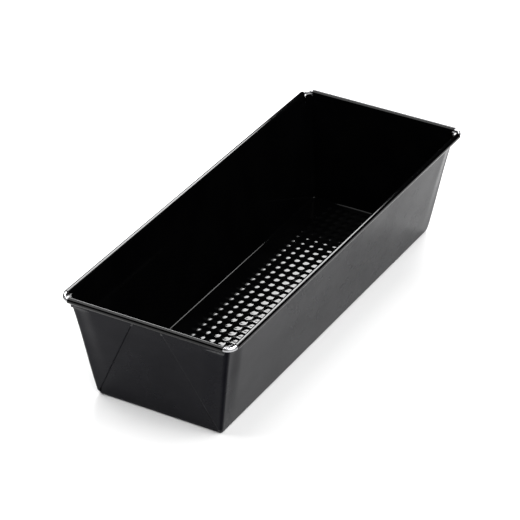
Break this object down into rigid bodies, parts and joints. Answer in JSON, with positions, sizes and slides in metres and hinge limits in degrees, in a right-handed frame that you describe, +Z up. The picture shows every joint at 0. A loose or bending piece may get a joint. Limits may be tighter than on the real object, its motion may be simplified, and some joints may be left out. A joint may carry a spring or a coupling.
{
  "type": "loaf pan",
  "caption": "Folded sheet-metal loaf pan with flared walls, folded corner ears, a dimpled floor and a rim rolled over a wire loop.",
  "frame": {"origin": "middle of the underside, on the plane that the pan rests on", "axes": "+Z up out of the open top, +X along the pan's length, +Y across it"},
  "size_m": [0.3082, 0.1204, 0.0738],
  "materials": {
    "coated_sheet": "black non-stick coating, glossy inside and satin outside",
    "bare_wire": "bare drawn steel wire, bright"
  },
  "bodies": {
    "root": {"pan_sheet": "coated_sheet", "rim_wire": "bare_wire"}
  },
  "joints": []
}
